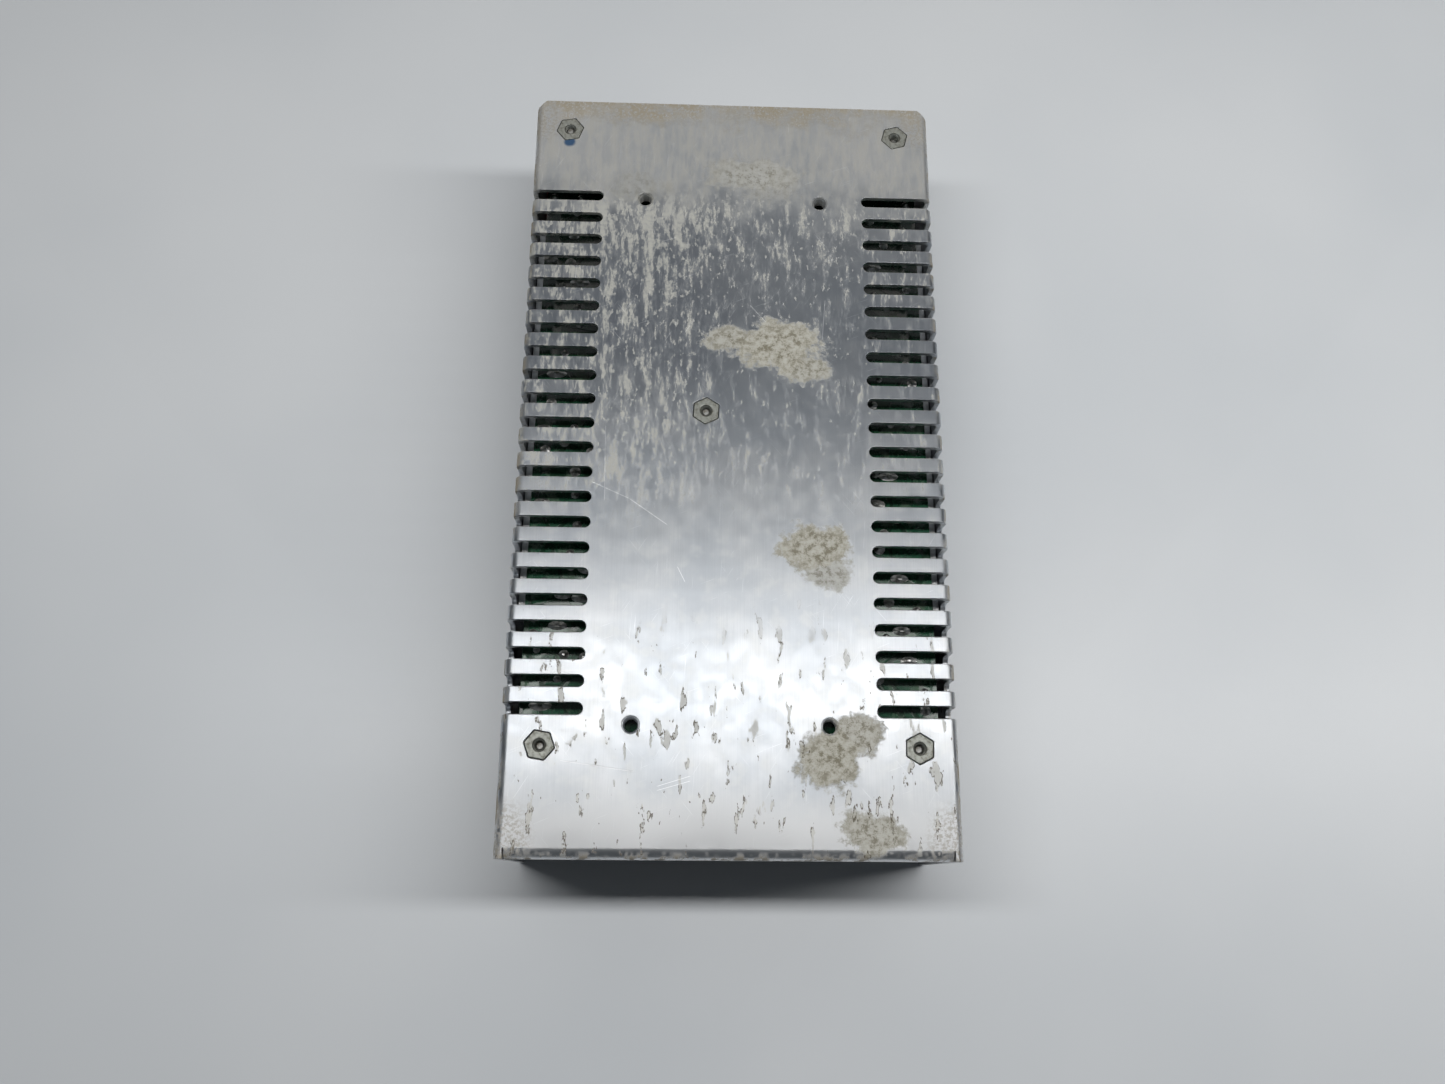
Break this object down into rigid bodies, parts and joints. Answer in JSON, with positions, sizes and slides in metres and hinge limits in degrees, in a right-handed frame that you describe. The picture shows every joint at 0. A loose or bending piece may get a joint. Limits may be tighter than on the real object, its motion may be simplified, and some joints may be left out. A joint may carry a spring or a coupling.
{
  "type": "enclosed power supply",
  "caption": "Enclosed switch-mode power supply in a slotted sheet-metal case, with cooling fan, barrier terminals and finger guard, underside up.",
  "frame": {"origin": "middle of the cover's outer face, on which the case rests, under the middle of the case", "axes": "+Z out of the underside plate, +Y towards the far end away from the terminals, +X to the right with the terminals nearest"},
  "size_m": [0.115, 0.215, 0.05],
  "materials": {
    "zinc_sheet": "bare zinc-coated sheet, semi-gloss, scratched and stained",
    "cover_steel": "bare zinc-coated sheet, semi-gloss",
    "olive_zinc": "dull olive-grey plated steel",
    "screw_steel": "zinc-plated, semi-gloss",
    "green_board": "glossy green solder mask",
    "black_plastic": "moulded, matt",
    "fan_plastic": "moulded, satin",
    "device_epoxy": "moulded epoxy, matt",
    "smoked_plastic": "smooth, glossy",
    "red_plastic": "moulded, satin",
    "blue_plastic": "moulded, satin",
    "white_plastic": "moulded, satin",
    "lamp_green": "clear tinted epoxy",
    "can_sleeve": "shrunk sleeve, glossy",
    "yellow_plastic": "tape and moulded box, satin",
    "ferrite": "ground ferrite, matt",
    "copper_wire": "enamelled copper wire, glossy",
    "aluminium": "extruded, satin",
    "fuse_glass": "glass tube in nickel clips",
    "lead_red": "PVC insulation"
  },
  "bodies": {
    "case": {"base_chassis": "zinc_sheet", "top_cover": "cover_steel", "pcb_standoff_1": "olive_zinc", "pcb_standoff_2": "olive_zinc", "pcb_standoff_3": "olive_zinc", "pcb_standoff_4": "olive_zinc", "pcb_standoff_5": "olive_zinc", "pcb_screw_1": "screw_steel", "pcb_screw_2": "screw_steel", "pcb_screw_3": "screw_steel", "pcb_screw_4": "screw_steel", "pcb_screw_5": "screw_steel", "cover_screw_1": "screw_steel", "cover_screw_2": "screw_steel", "cover_screw_3": "screw_steel", "cover_screw_4": "screw_steel", "fan_screw_1": "screw_steel", "fan_screw_2": "screw_steel", "fan_screw_3": "screw_steel", "fan_screw_4": "screw_steel", "circuit_board": "green_board", "terminal_block": "black_plastic", "terminal_screw_1": "screw_steel", "terminal_screw_2": "screw_steel", "terminal_screw_3": "screw_steel", "terminal_screw_4": "screw_steel", "terminal_screw_5": "screw_steel", "terminal_screw_6": "screw_steel", "terminal_screw_7": "screw_steel", "terminal_screw_8": "screw_steel", "terminal_screw_9": "screw_steel", "status_led": "lamp_green", "trimmer_body": "blue_plastic", "selector_body": "black_plastic", "fan_frame": "fan_plastic", "fan_lead": "lead_red", "fan_connector": "white_plastic", "heat_sink_left": "aluminium", "heat_sink_right": "aluminium", "bridge_rectifier": "device_epoxy", "power_transistor_1": "device_epoxy", "power_transistor_2": "device_epoxy", "output_rectifier_1": "device_epoxy", "output_rectifier_2": "device_epoxy", "input_capacitor_1": "can_sleeve", "input_capacitor_2": "can_sleeve", "output_capacitor_1": "can_sleeve", "output_capacitor_2": "can_sleeve", "output_capacitor_3": "can_sleeve", "line_capacitor": "yellow_plastic", "transformer_core": "ferrite", "transformer_winding": "yellow_plastic", "output_choke": "copper_wire", "mains_choke": "copper_wire", "fuse": "fuse_glass"},
    "rotor": {"fan_rotor": "fan_plastic"},
    "guard": {"terminal_cover": "smoked_plastic"},
    "trimmer": {"trimmer_rotor": "white_plastic"},
    "selector": {"selector_slider": "red_plastic"}
  },
  "joints": [
    {"name": "fan_spin", "type": "hinge", "parent": "case", "child": "rotor", "pos_m": [0, 0.066, 0.0088], "axis": [0, 0, 1], "continuous": true},
    {"name": "terminal_cover_flip", "type": "hinge", "parent": "case", "child": "guard", "pos_m": [-0.006, -0.095, 0.0245], "axis": [1, 0, 0], "range_deg": [0, 100]},
    {"name": "trimmer_turn", "type": "hinge", "parent": "case", "child": "trimmer", "pos_m": [0.043, -0.1051, 0.0385], "axis": [0, 1, 0], "range_deg": [-130, 130]},
    {"name": "selector_slide", "type": "slide", "parent": "case", "child": "selector", "axis": [0, 1, 0], "range_m": [0, 0.004]}
  ]
}
